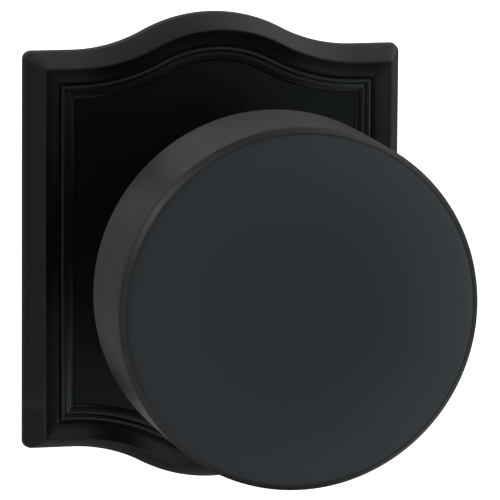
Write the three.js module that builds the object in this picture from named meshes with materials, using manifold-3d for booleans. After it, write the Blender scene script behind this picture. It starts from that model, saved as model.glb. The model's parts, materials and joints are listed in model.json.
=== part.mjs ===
// One trim half of a passage door-knob set: an arched rosette, a round puck knob and the
// spring cassette that brings the knob back to rest. Millimetres, +Z up.
// The door's face is the plane Y = 0 and the origin is on the knob's axis. The knob stands out
// towards -Y, and the spindle and posts reach back towards +Y, into the door.
// Lengths along that axis are given as "out": the distance out from the door's face, so -Y.
import * as THREE from "three";
import { mergeVertices } from "three/addons/utils/BufferGeometryUtils.js";
import Module from "manifold-3d";

// Clearances
const GAP = 0.3; // round a piece that is cut to take its neighbour, and round running fits
const SEAT = 0.1; // between two flat faces that rest on each other

// Rosette: a 70 mm wide plate that covers a 54 mm cross bore
const ROSETTE_WIDTH = 70;
const SHOULDER_HEIGHT = 73; // from shoulder to shoulder, beside the arches
const ARCH_RISE = 6.5; // how far each arch stands above the shoulders
const OGEE_RADIUS = 27.5; // of the crown arc and of the hollow arcs beside it
const CORNER_RADIUS = 0.9;
const SHARP_RADIUS = 0.25; // what is left of the corner radius on the mouldings
const EDGE_LAND = 1.0;
const ARRIS_INSET = 3.0;
const ARRIS_OUT = 7.3;
const BEAD_INSET = 6.6;
const BEAD_WIDTH = 0.9;
const BEAD_OUT = 5.5;
const COVE_OUT = 5.1;
const STEP_INSET = 8.1;
const STEP_OUT = 4.6;
const PANEL_INSET = 9.0;
const PANEL_OUT = 4.0;
const RIM_WIDTH = 2.2;
const HOLLOW_INSET = 4.3;
const HOLLOW_OUT = 4.9;
const CEILING_INSET = 7.6;
const CEILING_OUT = 2.4;

// Mounting plate and its four screws
const PLATE_INSET = 3.5;
const PLATE_BACK = 0.1;
const PLATE_FRONT = 2.1;
const PLATE_SCREW_INSET = 7.3;
const PLATE_SCREW_RADIUS = 1.5;
const PLATE_SCREW_HEAD = 2.7;
const PLATE_SCREW_TIP = 3.9;
const BOSS_RADIUS = 3.3;
const RECESS_WIDTH = 0.7;
const RECESS_DEPTH = 0.9;

// Threaded posts on the 38 mm spacing of the latch's through bolts
const POST_SPACING = 38.1;
const POST_RADIUS = 3.5;
const POST_STEM_RADIUS = 2.6;
const POST_END = -22;
const POST_CHAMFER = 0.5;
const POST_THREAD_RADIUS = 1.7;
const POST_THREAD_END = -4;

// Knob
const KNOB_RADIUS = 31.5;
const KNOB_FRONT = 70.4;
const KNOB_BACK = 46;
const FACE_CROWN = 0.5;
const CHAMFER = 1.2; // round the face
const EDGE_RADIUS = 1.4; // round the back of the shell
const FACE_SEAM = 68;
const SHEET = 1.6; // wall of the shell and of the face
const SPIGOT_LENGTH = 4;
const NECK_HOLE = 10.3;

// Neck of the knob, from the rosette to the shell
const JOURNAL_RADIUS = 12;
const NECK_TAIL = 2.5;
const COLLAR_RADIUS = 14.6;
const COLLAR_BACK = 5.5;
const COLLAR_FRONT = 8;
const WAIST_RADIUS = 11.6;
const WAIST_OUT = 22;
const FLARE_RADIUS = 15.6;
const FLARE_OUT = 44.2;
const LIP_RADIUS = 12.5;
const LIP_FRONT = 49;
const NECK_LIGHTENING = 6;

// Bush that the neck turns in
const BUSH_RADIUS = 13.4;
const BUSH_FLANGE_RADIUS = 15.4;
const BUSH_FLANGE_FRONT = 5;

// Drive hub
const HUB_RADIUS = 9;
const HUB_FRONT = 26;
const HUB_END = -14.6;
const HUB_FLANGE_RADIUS = 12.4;
const HUB_FLANGE_FRONT = -0.2;
const HUB_FLANGE_BACK = -3;
const STOP_LUG_RADIUS = 14.7;
const STOP_LUG_WIDTH = 5;
const STOP_LUG_FRONT = -1.6;

// How far the knob turns each way before its lug meets the end of the cage's window
const TURN = THREE.MathUtils.degToRad(60);
const STOP_SLACK = THREE.MathUtils.degToRad(1.5);

// Spring cage
const CAGE_RADIUS = 13;
const CAGE_WALL = 1.2;
const CAGE_EDGE_RADIUS = 1.1;
const CAGE_FLOOR_FRONT = -10.2;
const CAGE_FLOOR_BACK = -11.4;
const RIVET_PITCH_RADIUS = 17.5;
const EAR_RADIUS = 4.2;
const RIVET_RADIUS = 1.5;
const RIVET_HEAD_RADIUS = 2.4;
const RIVET_HEAD_HEIGHT = 1.2;

// Return spring
const WIRE = 1.5;
const COIL_RADIUS = 11;
const COIL_TURNS = 3.25;
const LEG_REACH = 1.6; // how far each leg stands past the piece that it hooks into
const LEG_SLOT_WIDTH = 5;
const COIL_AXIAL_CLEARANCE = 0.25;

// Spindle and its pin
const SPINDLE_WIDTH = 7.94;
const SPINDLE_FRONT = 9;
const SPINDLE_END = -52;
const SPINDLE_CHAMFER = 0.8;
const PIN_RADIUS = 1;
const PIN_OUT = 5;

// Washer and ring that hold the hub in the cage
const WASHER_RADIUS = 12.4;
const WASHER_THICKNESS = 0.4;
const WASHER_WAVE = 0.25;
const WASHER_WAVES = 3;
const RING_RADIUS = 11;
const RING_BORE = 8.5;
const RING_FRONT = -12.5;
const RING_BACK = -13.5;
const RING_GAP = THREE.MathUtils.degToRad(50);
const RING_EAR_RADIUS = 1.7;
const RING_EAR_HOLE = 0.7;

// Set screw that clamps the neck on the hub
const SET_SCREW_RADIUS = 2.5;
const SET_SCREW_OUT = 14;
const SET_SCREW_TIP = 8.5;
const SET_SCREW_LENGTH = 3.2;
const SET_SCREW_SOCKET = 2.5;
const SOCKET_DEPTH = 1.5;

// Fineness of the curved faces
const KNOB_SIDES = 60;
const PIECE_SIDES = 32;
const SMALL_SIDES = 16;
const ARC_STEPS = 12;

const wasm = await Module();
wasm.setup();

const finishes = {
  black: { color: 0x1d1f20, roughness: 0.45, metalness: 0.6 },
  zinc: { color: 0xb4b7ba, roughness: 0.4, metalness: 0.9 },
  casting: { color: 0x9a9c9d, roughness: 0.55, metalness: 0.8 },
  spring: { color: 0x55585c, roughness: 0.35, metalness: 0.9 },
  nylon: { color: 0x17181a, roughness: 0.6, metalness: 0 },
};

// ---- geometry helpers ----

// Turns a closed geometry into a solid that can be joined and cut, facing outwards.
function solid(geometry) {
  const bare = geometry.clone();
  bare.deleteAttribute("normal");
  bare.deleteAttribute("uv");
  const merged = mergeVertices(bare, 1e-4);
  const places = merged.getAttribute("position").array;
  const corners = merged.getIndex().array;
  const kept = [];
  let volume = 0;
  const [a, b, c] = [new THREE.Vector3(), new THREE.Vector3(), new THREE.Vector3()];
  for (let i = 0; i < corners.length; i += 3) {
    const [p, q, r] = corners.slice(i, i + 3);
    if (p === q || q === r || r === p) continue;
    kept.push(p, q, r);
    a.fromArray(places, 3 * p);
    b.fromArray(places, 3 * q);
    c.fromArray(places, 3 * r);
    volume += a.dot(b.cross(c));
  }
  if (volume < 0) kept.reverse();
  return new wasm.Manifold(new wasm.Mesh({
    numProp: 3,
    vertProperties: new Float32Array(places),
    triVerts: new Uint32Array(kept),
  }));
}

// The three.js geometry of a solid.
function geometryOf(manifold) {
  const { vertProperties, triVerts } = manifold.getMesh();
  const geometry = new THREE.BufferGeometry();
  geometry.setAttribute("position", new THREE.BufferAttribute(vertProperties, 3));
  geometry.setIndex(new THREE.BufferAttribute(triVerts, 1));
  geometry.computeVertexNormals();
  return geometry;
}

const cut = (base, tools) => tools.reduce((left, tool) => left.subtract(tool), base);
const join = (base, others) => others.reduce((sum, other) => sum.add(other), base);

// Points along an arc, in degrees, both ends included.
function arc(x, y, radius, from, to, steps) {
  return Array.from({ length: steps + 1 }, (_, i) => {
    const angle = THREE.MathUtils.degToRad(from + ((to - from) * i) / steps);
    return [x + radius * Math.cos(angle), y + radius * Math.sin(angle)];
  });
}

// A piece turned about the knob's axis, from [radius, out] points.
function turned(profile, sides = PIECE_SIDES) {
  const points = profile.map(([radius, out]) => new THREE.Vector2(radius, -out));
  return solid(new THREE.LatheGeometry(points, sides));
}

// A ring with a rectangular section.
function ring(inner, outer, back, front, sides = PIECE_SIDES) {
  return turned([[inner, back], [outer, back], [outer, front], [inner, front], [inner, back]], sides);
}

// A flat piece whose outline is drawn on the door's face, from one "out" to another.
function plate(shape, back, front) {
  const geometry = new THREE.ExtrudeGeometry(shape, {
    depth: front - back,
    bevelEnabled: false,
    curveSegments: ARC_STEPS,
  });
  geometry.rotateX(Math.PI / 2).translate(0, -back, 0);
  return solid(geometry);
}

// A rod, or a cone with a second radius, whose axis points out of the door.
function rod(x, z, radius, back, front, frontRadius = radius, sides = SMALL_SIDES) {
  const geometry = new THREE.CylinderGeometry(radius, frontRadius, front - back, sides);
  geometry.translate(x, -(back + front) / 2, z);
  return solid(geometry);
}

// A small turned piece whose axis points out of the door at (x, z).
function turnedAt(x, z, profile) {
  return turned(profile, SMALL_SIDES).translate([x, 0, z]);
}

// A box by its middle and size, with its length along the knob's axis second.
function block(x, out, z, width, length, height) {
  return solid(new THREE.BoxGeometry(width, length, height).translate(x, -out, z));
}

// ---- rosette ----

// The outline at an inset from the plate's edge, starting at the crown of the upper arch and
// going round by +X. Each arch is a crown arc that runs into a hollow arc on each side.
function outline(inset, corner) {
  const arcSteps = 6;
  const cornerSteps = 2;
  const crown = OGEE_RADIUS - inset;
  const hollow = OGEE_RADIUS + inset;
  const between = 2 * OGEE_RADIUS;
  const sweep = THREE.MathUtils.radToDeg(Math.acos((between - ARCH_RISE) / between));
  const halfSpan = Math.sqrt(between ** 2 - (between - ARCH_RISE) ** 2);
  const halfHeight = SHOULDER_HEIGHT / 2;
  const crownCentre = halfHeight + ARCH_RISE - OGEE_RADIUS;
  const hollowCentre = halfHeight + OGEE_RADIUS;
  const quarter = [
    ...arc(0, crownCentre, crown, 90, 90 - sweep, arcSteps),
    ...arc(halfSpan, hollowCentre, hollow, 270 - sweep, 270, arcSteps).slice(1),
    ...arc(ROSETTE_WIDTH / 2 - inset - corner, halfHeight - inset - corner, corner, 90, 0, cornerSteps),
  ];
  const back = [...quarter].reverse();
  return [
    ...quarter,
    ...back.map(([x, z]) => [x, -z]),
    ...quarter.slice(1).map(([x, z]) => [-x, -z]),
    ...back.slice(0, -1).map(([x, z]) => [-x, z]),
  ];
}

// A solid through outlines of the rosette, one for each [inset, out], with flat ends.
function loft(levels) {
  const rings = levels.map(([inset, out]) => {
    const corner = Math.max(CORNER_RADIUS - inset, SHARP_RADIUS);
    return outline(inset, corner).map(([x, z]) => [x, -out, z]);
  });
  const count = rings[0].length;
  const places = rings.flat();
  const corners = [];
  for (let level = 0; level < rings.length - 1; level += 1) {
    for (let i = 0; i < count; i += 1) {
      const next = (i + 1) % count;
      const [a, b] = [level * count + i, level * count + next];
      corners.push(a, b, b + count, a, b + count, a + count);
    }
  }
  const last = (rings.length - 1) * count;
  const firstHub = places.push([0, -levels[0][1], 0]) - 1;
  const lastHub = places.push([0, -levels.at(-1)[1], 0]) - 1;
  for (let i = 0; i < count; i += 1) {
    const next = (i + 1) % count;
    corners.push(firstHub, next, i);
    corners.push(lastHub, last + i, last + next);
  }
  const geometry = new THREE.BufferGeometry();
  geometry.setAttribute("position", new THREE.Float32BufferAttribute(places.flat(), 3));
  geometry.setIndex(corners);
  return solid(geometry);
}

const plateScrewPlaces = [[1, 1], [-1, 1], [-1, -1], [1, -1]].map(([x, z]) => [
  x * (ROSETTE_WIDTH / 2 - PLATE_SCREW_INSET),
  z * (SHOULDER_HEIGHT / 2 - PLATE_SCREW_INSET),
]);

function rosette() {
  const beadEdge = BEAD_WIDTH / 2;
  const body = loft([
    [0, 0],
    [0, EDGE_LAND],
    [ARRIS_INSET, ARRIS_OUT],
    [BEAD_INSET - beadEdge, COVE_OUT],
    [BEAD_INSET - beadEdge / 2, BEAD_OUT],
    [BEAD_INSET + beadEdge / 2, BEAD_OUT],
    [BEAD_INSET + beadEdge, STEP_OUT + 0.2],
    [STEP_INSET - 0.1, STEP_OUT],
    [STEP_INSET + 0.1, PANEL_OUT + 0.2],
    [PANEL_INSET, PANEL_OUT],
  ]);
  const hollow = loft([
    [RIM_WIDTH, -1],
    [RIM_WIDTH, 0],
    [HOLLOW_INSET, HOLLOW_OUT],
    [CEILING_INSET, CEILING_OUT],
  ]);
  const bosses = plateScrewPlaces.map(([x, z]) => rod(x, z, BOSS_RADIUS, PLATE_FRONT + GAP, COVE_OUT - 1));
  const threads = plateScrewPlaces.map(([x, z]) =>
    rod(x, z, PLATE_SCREW_RADIUS + GAP, -1, PLATE_SCREW_TIP + GAP));
  const bore = rod(0, 0, BUSH_RADIUS + GAP, -1, ARRIS_OUT, BUSH_RADIUS + GAP, PIECE_SIDES);
  return cut(join(cut(body, [hollow]), bosses), [...threads, bore]);
}

// ---- mounting plate, its screws and posts ----

const postPlaces = [-POST_SPACING / 2, POST_SPACING / 2];
const rivetPlaces = [45, 135, 225, 315].map((angle) => arc(0, 0, RIVET_PITCH_RADIUS, angle, angle, 1)[0]);

// The profile of a countersunk screw, which also cuts its hole when it is grown by a clearance.
function countersunk(grow, back, tip) {
  const cone = PLATE_SCREW_HEAD - PLATE_SCREW_RADIUS;
  return [
    [0, back],
    [PLATE_SCREW_HEAD + grow, back],
    [PLATE_SCREW_HEAD + grow, PLATE_BACK],
    [PLATE_SCREW_RADIUS + grow, PLATE_BACK + cone],
    [PLATE_SCREW_RADIUS + grow, tip],
    [0, tip],
  ];
}

function mountingPlate() {
  const shape = new THREE.Shape(outline(PLATE_INSET, 2).map(([x, z]) => new THREE.Vector2(x, z)));
  return cut(plate(shape, PLATE_BACK, PLATE_FRONT), [
    rod(0, 0, HUB_RADIUS + GAP, -1, ARRIS_OUT, HUB_RADIUS + GAP, PIECE_SIDES),
    ...postPlaces.map((x) => rod(x, 0, POST_STEM_RADIUS + GAP, -1, ARRIS_OUT)),
    ...rivetPlaces.map(([x, z]) => rod(x, z, RIVET_RADIUS + GAP, -1, ARRIS_OUT)),
    ...plateScrewPlaces.map(([x, z]) => turnedAt(x, z, countersunk(GAP, -1, ARRIS_OUT))),
  ]);
}

function plateScrew([x, z]) {
  const back = PLATE_BACK + SEAT;
  const depth = 2 * RECESS_DEPTH;
  const reach = 1.3 * PLATE_SCREW_HEAD;
  const body = turnedAt(x, z, [
    [0, back],
    [PLATE_SCREW_HEAD, back],
    [PLATE_SCREW_RADIUS, back + PLATE_SCREW_HEAD - PLATE_SCREW_RADIUS],
    [PLATE_SCREW_RADIUS, PLATE_SCREW_TIP - 0.3],
    [PLATE_SCREW_RADIUS - 0.3, PLATE_SCREW_TIP],
    [0, PLATE_SCREW_TIP],
  ]);
  return cut(body, [
    block(x, back, z, reach, depth, RECESS_WIDTH),
    block(x, back, z, RECESS_WIDTH, depth, reach),
  ]);
}

function mountingPost(x) {
  const body = turnedAt(x, 0, [
    [0, PLATE_FRONT - SEAT],
    [POST_STEM_RADIUS, PLATE_FRONT - SEAT],
    [POST_STEM_RADIUS, PLATE_BACK - SEAT],
    [POST_RADIUS, PLATE_BACK - SEAT],
    [POST_RADIUS, POST_END + POST_CHAMFER],
    [POST_RADIUS - POST_CHAMFER, POST_END],
    [0, POST_END],
  ]);
  return cut(body, [rod(x, 0, POST_THREAD_RADIUS, POST_END - 1, POST_THREAD_END)]);
}

// ---- knob ----

function knobFace() {
  const rim = KNOB_RADIUS - CHAMFER;
  const edge = KNOB_FRONT - FACE_CROWN;
  const spigot = KNOB_RADIUS - SHEET - GAP;
  const inside = edge - SHEET;
  return turned([
    [0, KNOB_FRONT],
    ...[0.5, 0.75, 1].map((share) => [rim * share, KNOB_FRONT - FACE_CROWN * share ** 4]),
    [KNOB_RADIUS, edge - CHAMFER],
    [KNOB_RADIUS, FACE_SEAM],
    [spigot, FACE_SEAM],
    [spigot, FACE_SEAM - SPIGOT_LENGTH],
    [spigot - SHEET, FACE_SEAM - SPIGOT_LENGTH],
    [spigot - SHEET, inside],
    [0, inside],
  ], KNOB_SIDES);
}

function knobShell() {
  const front = FACE_SEAM - SEAT;
  const floor = KNOB_BACK + SHEET;
  const bend = KNOB_RADIUS - EDGE_RADIUS;
  return turned([
    [NECK_HOLE, KNOB_BACK],
    ...arc(bend, KNOB_BACK + EDGE_RADIUS, EDGE_RADIUS, 270, 360, 4),
    [KNOB_RADIUS, front],
    [KNOB_RADIUS - SHEET, front],
    [KNOB_RADIUS - SHEET, floor],
    [NECK_HOLE, floor],
    [NECK_HOLE, KNOB_BACK],
  ], KNOB_SIDES);
}

// The neck's visible side is a cove: half of a cosine wave from each end to the waist.
function cove(fromRadius, fromOut, toRadius, toOut, steps) {
  return Array.from({ length: steps + 1 }, (_, i) => {
    const along = i / steps;
    const ease = (1 - Math.cos(Math.PI * along)) / 2;
    return [fromRadius + (toRadius - fromRadius) * ease, fromOut + (toOut - fromOut) * along];
  });
}

function knobNeck() {
  const stub = NECK_HOLE - GAP;
  const bore = HUB_RADIUS + GAP;
  const collarEdge = 0.5;
  const body = turned([
    [bore, NECK_TAIL],
    [JOURNAL_RADIUS, NECK_TAIL],
    [JOURNAL_RADIUS, COLLAR_BACK],
    [COLLAR_RADIUS - collarEdge, COLLAR_BACK],
    [COLLAR_RADIUS, COLLAR_BACK + collarEdge],
    [COLLAR_RADIUS, COLLAR_FRONT - collarEdge],
    [COLLAR_RADIUS - collarEdge, COLLAR_FRONT],
    ...cove(JOURNAL_RADIUS + 1, COLLAR_FRONT, WAIST_RADIUS, WAIST_OUT, 4),
    ...cove(WAIST_RADIUS, WAIST_OUT, FLARE_RADIUS, FLARE_OUT, 6).slice(1),
    [FLARE_RADIUS, KNOB_BACK - SEAT],
    [stub, KNOB_BACK - SEAT],
    [stub, KNOB_BACK + SHEET + SEAT],
    [LIP_RADIUS, KNOB_BACK + SHEET + SEAT],
    [LIP_RADIUS - 1, LIP_FRONT],
    [NECK_LIGHTENING, LIP_FRONT],
    [NECK_LIGHTENING, HUB_FRONT + GAP],
    [bore, HUB_FRONT + GAP],
    [bore, NECK_TAIL],
  ]);
  return cut(body, [setScrewRod(SET_SCREW_RADIUS + GAP, 0, COLLAR_RADIUS + 2)]);
}

// A rod along -Z at the set screw's place, between two distances below the knob's axis.
function setScrewRod(radius, from, to, sides = SMALL_SIDES) {
  const geometry = new THREE.CylinderGeometry(radius, radius, to - from, sides);
  geometry.rotateX(Math.PI / 2).translate(0, -SET_SCREW_OUT, -(from + to) / 2);
  return solid(geometry);
}

function setScrew() {
  const end = SET_SCREW_TIP + SET_SCREW_LENGTH;
  const socketRadius = SET_SCREW_SOCKET / Math.sqrt(3);
  return cut(setScrewRod(SET_SCREW_RADIUS, SET_SCREW_TIP, end), [
    setScrewRod(socketRadius, end - SOCKET_DEPTH, end + 1, 6),
  ]);
}

// ---- bush, hub and spindle ----

function neckBush() {
  const inner = JOURNAL_RADIUS + GAP;
  return turned([
    [inner, PLATE_FRONT + GAP],
    [BUSH_RADIUS, PLATE_FRONT + GAP],
    [BUSH_RADIUS, PANEL_OUT + SEAT],
    [BUSH_FLANGE_RADIUS, PANEL_OUT + SEAT],
    [BUSH_FLANGE_RADIUS, BUSH_FLANGE_FRONT - 0.3],
    [BUSH_FLANGE_RADIUS - 0.3, BUSH_FLANGE_FRONT],
    [inner, BUSH_FLANGE_FRONT],
    [inner, PLATE_FRONT + GAP],
  ]);
}

// The pin goes across the hub and the spindle, along X.
function pinRod(radius, length) {
  const geometry = new THREE.CylinderGeometry(radius, radius, length, SMALL_SIDES);
  return solid(geometry.rotateZ(Math.PI / 2).translate(0, -PIN_OUT, 0));
}

function driveHub() {
  const grooveRadius = RING_BORE - GAP;
  const endChamfer = 0.6;
  const body = turned([
    [0, HUB_FRONT],
    [HUB_RADIUS - endChamfer, HUB_FRONT],
    [HUB_RADIUS, HUB_FRONT - endChamfer],
    [HUB_RADIUS, HUB_FLANGE_FRONT],
    [HUB_FLANGE_RADIUS, HUB_FLANGE_FRONT],
    [HUB_FLANGE_RADIUS, HUB_FLANGE_BACK],
    [HUB_RADIUS, HUB_FLANGE_BACK],
    [HUB_RADIUS, RING_FRONT + SEAT],
    [grooveRadius, RING_FRONT + SEAT],
    [grooveRadius, RING_BACK - SEAT],
    [HUB_RADIUS, RING_BACK - SEAT],
    [HUB_RADIUS - endChamfer / 2, HUB_END],
    [0, HUB_END],
  ]);
  const lugMiddle = (HUB_RADIUS + STOP_LUG_RADIUS) / 2;
  const lugOut = (STOP_LUG_FRONT + HUB_FLANGE_BACK) / 2;
  const lugHeight = STOP_LUG_RADIUS - HUB_RADIUS;
  const lug = block(0, lugOut, lugMiddle, STOP_LUG_WIDTH, STOP_LUG_FRONT - HUB_FLANGE_BACK, lugHeight);
  const socket = SPINDLE_WIDTH + GAP;
  const [legX, legZ] = coilPlace(0);
  return cut(join(body, [lug]), [
    block(0, (HUB_FRONT + HUB_END) / 2, 0, socket, HUB_FRONT - HUB_END + 2, socket),
    rod(legX, legZ, WIRE / 2 + 2 * GAP, HUB_FLANGE_BACK - 1, 0),
    pinRod(PIN_RADIUS + GAP, 3 * HUB_RADIUS),
    setScrewRod(SET_SCREW_RADIUS + GAP, SET_SCREW_TIP - GAP, COLLAR_RADIUS),
  ]);
}

function spindle() {
  const half = SPINDLE_WIDTH / 2;
  const inner = half - SPINDLE_CHAMFER;
  const square = (reach) => [[-reach, -reach], [reach, -reach], [reach, reach], [-reach, reach]];
  const shape = new THREE.Shape(square(inner).map(([x, z]) => new THREE.Vector2(x, z)));
  const geometry = new THREE.ExtrudeGeometry(shape, {
    depth: SPINDLE_FRONT - SPINDLE_END - 2 * SPINDLE_CHAMFER,
    bevelThickness: SPINDLE_CHAMFER,
    bevelSize: SPINDLE_CHAMFER,
    bevelSegments: 1,
  });
  geometry.rotateX(Math.PI / 2).translate(0, -SPINDLE_END - SPINDLE_CHAMFER, 0);
  return cut(solid(geometry), [pinRod(PIN_RADIUS + GAP, 3 * HUB_RADIUS)]);
}

const spindlePin = () => pinRod(PIN_RADIUS, 2 * HUB_RADIUS - 0.6);

// ---- spring cassette ----

// A window through the cage's wall, centred on the top, that takes in an angle to each side.
function window(halfAngle, back, front) {
  const [inner, outer] = [CAGE_RADIUS - 1, CAGE_RADIUS + CAGE_WALL + 0.6];
  const shape = new THREE.Shape();
  shape.absarc(0, 0, outer, Math.PI / 2 - halfAngle, Math.PI / 2 + halfAngle, false);
  shape.absarc(0, 0, inner, Math.PI / 2 + halfAngle, Math.PI / 2 - halfAngle, true);
  return plate(shape, back, front);
}

function springCage() {
  const outer = CAGE_RADIUS + CAGE_WALL;
  const flangeBack = PLATE_BACK - SEAT - CAGE_WALL;
  const cup = turned([
    [CAGE_RADIUS, PLATE_BACK - SEAT],
    [CAGE_RADIUS, CAGE_FLOOR_FRONT],
    [HUB_RADIUS + GAP, CAGE_FLOOR_FRONT],
    [HUB_RADIUS + GAP, CAGE_FLOOR_BACK],
    ...arc(outer - CAGE_EDGE_RADIUS, CAGE_FLOOR_BACK + CAGE_EDGE_RADIUS, CAGE_EDGE_RADIUS, 270, 360, 3),
    [outer, PLATE_BACK - SEAT],
    [CAGE_RADIUS, PLATE_BACK - SEAT],
  ]);
  const flange = ring(CAGE_RADIUS + CAGE_WALL / 2, outer + 1, flangeBack, PLATE_BACK - SEAT);
  const ears = rivetPlaces.map(([x, z]) => rod(x, z, EAR_RADIUS, flangeBack, PLATE_BACK - SEAT));
  const bore = rod(0, 0, CAGE_RADIUS, flangeBack - 1, 1, CAGE_RADIUS, PIECE_SIDES);
  const lugAngle = Math.asin(STOP_LUG_WIDTH / 2 / CAGE_RADIUS);
  const lugRoom = 0.4;
  const slotFront = CAGE_FLOOR_FRONT + COIL_AXIAL_CLEARANCE + WIRE + GAP;
  const slotOut = (CAGE_FLOOR_FRONT + slotFront) / 2;
  const legSlot = block(0, slotOut, -CAGE_RADIUS, LEG_SLOT_WIDTH, slotFront - CAGE_FLOOR_FRONT, 6);
  return cut(join(cup, [cut(join(flange, ears), [bore])]), [
    window(TURN + lugAngle + STOP_SLACK, HUB_FLANGE_BACK - lugRoom, STOP_LUG_FRONT + lugRoom / 2),
    ...rivetPlaces.map(([x, z]) => rod(x, z, RIVET_RADIUS + GAP, -3, 1)),
    legSlot,
  ]);
}

function cageRivet([x, z]) {
  const seat = PLATE_BACK - SEAT - CAGE_WALL - SEAT;
  const dome = [0, 30, 60, 90].map((angle) => {
    const turn = THREE.MathUtils.degToRad(angle);
    return [RIVET_HEAD_RADIUS * Math.sin(turn), seat - RIVET_HEAD_HEIGHT * Math.cos(turn)];
  });
  return turnedAt(x, z, [
    ...dome,
    [RIVET_RADIUS, seat],
    [RIVET_RADIUS, PLATE_FRONT - SEAT],
    [0, PLATE_FRONT - SEAT],
  ]);
}

// Where the coil's wire is after a part of its turns, seen along the axis, as [x, z].
function coilPlace(part) {
  const angle = Math.PI * (1 + 2 * COIL_TURNS * part);
  return [COIL_RADIUS * Math.cos(angle), COIL_RADIUS * Math.sin(angle)];
}

// The wire's centre line: a leg through the hub's flange, the coil, and a leg through the cage.
function springPath() {
  const first = HUB_FLANGE_BACK - COIL_AXIAL_CLEARANCE - WIRE / 2;
  const last = CAGE_FLOOR_FRONT + COIL_AXIAL_CLEARANCE + WIRE / 2;
  const steps = Math.round(COIL_TURNS * 16);
  const [frontX, frontZ] = coilPlace(0);
  const [backX, backZ] = coilPlace(1);
  const length = Math.hypot(backX, backZ);
  const outwards = (CAGE_RADIUS + CAGE_WALL + LEG_REACH) / length;
  const coil = Array.from({ length: steps - 3 }, (_, i) => {
    const part = (i + 2) / steps;
    const [x, z] = coilPlace(part);
    return [x, -(first + (last - first) * part), z];
  });
  return [
    [frontX, -(HUB_FLANGE_BACK + LEG_REACH), frontZ],
    [frontX, -HUB_FLANGE_BACK + WIRE / 4, frontZ],
    ...coil,
    [backX * 1.06, -last, backZ * 1.06],
    [backX * outwards, -last, backZ * outwards],
  ];
}

function returnSpring() {
  const path = new THREE.CatmullRomCurve3(springPath().map((p) => new THREE.Vector3(...p)));
  const section = new THREE.Shape().absarc(0, 0, WIRE / 2, 0, 2 * Math.PI, false);
  return solid(new THREE.ExtrudeGeometry(section, {
    extrudePath: path,
    steps: Math.round(COIL_TURNS * 24),
    curveSegments: 4,
  }));
}

// A flat ring bent into waves round the axis.
function waveWasher() {
  const middle = CAGE_FLOOR_BACK - SEAT - WASHER_WAVE - WASHER_THICKNESS / 2;
  const [back, front] = [middle - WASHER_THICKNESS / 2, middle + WASHER_THICKNESS / 2];
  const flat = ring(HUB_RADIUS + GAP, WASHER_RADIUS, back, front);
  return flat.warp((place) => {
    place[1] += WASHER_WAVE * Math.cos(WASHER_WAVES * Math.atan2(place[2], place[0]));
  });
}

// An open ring with an ear on each side of its gap, which faces down.
function retainingRing() {
  const [from, to] = [-Math.PI / 2 + RING_GAP / 2, (3 * Math.PI) / 2 - RING_GAP / 2];
  const shape = new THREE.Shape();
  shape.absarc(0, 0, RING_RADIUS, from, to, false);
  shape.absarc(0, 0, RING_BORE, to, from, true);
  const earPlaces = [from, to].map((angle) => {
    const middle = RING_BORE + RING_EAR_RADIUS;
    return [middle * Math.cos(angle), middle * Math.sin(angle)];
  });
  const ears = earPlaces.map(([x, z]) => rod(x, z, RING_EAR_RADIUS, RING_BACK, RING_FRONT));
  const holes = earPlaces.map(([x, z]) => rod(x, z, RING_EAR_HOLE, RING_BACK - 1, RING_FRONT + 1));
  return cut(join(plate(shape, RING_BACK, RING_FRONT), ears), holes);
}

// ---- assembly ----

function piece(name, shape, finish) {
  const mesh = new THREE.Mesh(geometryOf(shape), new THREE.MeshStandardMaterial(finishes[finish]));
  mesh.name = name;
  return mesh;
}

const knob = new THREE.Group();
knob.add(
  piece("knob_face", knobFace(), "black"),
  piece("knob_shell", knobShell(), "black"),
  piece("knob_neck", knobNeck(), "black"),
  piece("neck_set_screw", setScrew(), "spring"),
  piece("drive_hub", driveHub(), "casting"),
  piece("spindle", spindle(), "zinc"),
  piece("spindle_pin", spindlePin(), "spring"),
  piece("retaining_ring", retainingRing(), "spring"),
);

const trim = new THREE.Group();
trim.add(
  piece("rosette", rosette(), "black"),
  piece("neck_bush", neckBush(), "nylon"),
  piece("mounting_plate", mountingPlate(), "zinc"),
  piece("spring_cage", springCage(), "zinc"),
  piece("return_spring", returnSpring(), "spring"),
  piece("wave_washer", waveWasher(), "spring"),
  ...plateScrewPlaces.map((place, i) => piece(`plate_screw_${i + 1}`, plateScrew(place), "zinc")),
  ...rivetPlaces.map((place, i) => piece(`cage_rivet_${i + 1}`, cageRivet(place), "zinc")),
  ...postPlaces.map((x, i) => piece(`mounting_post_${i + 1}`, mountingPost(x), "zinc")),
);

const doorKnob = new THREE.Group();
doorKnob.add(knob, trim);

export default doorKnob;
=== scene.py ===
"""One trim half of a passage door-knob set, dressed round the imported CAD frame.

The frame is in metres, +Z up, with the door's face at Y = 0 and the knob on the Y axis, towards -Y.
Lengths along that axis are given as "out", the distance out from the door's face, so -Y.
A profile is a list of (radius, out, rounding) corners, or (inset, out, rounding) on the rosette.
"""

import json
from math import acos, asin, ceil, cos, degrees, pi, radians, sin, sqrt, tan

import bmesh
import bpy
import numpy as np
from mathutils import Matrix, Vector


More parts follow.
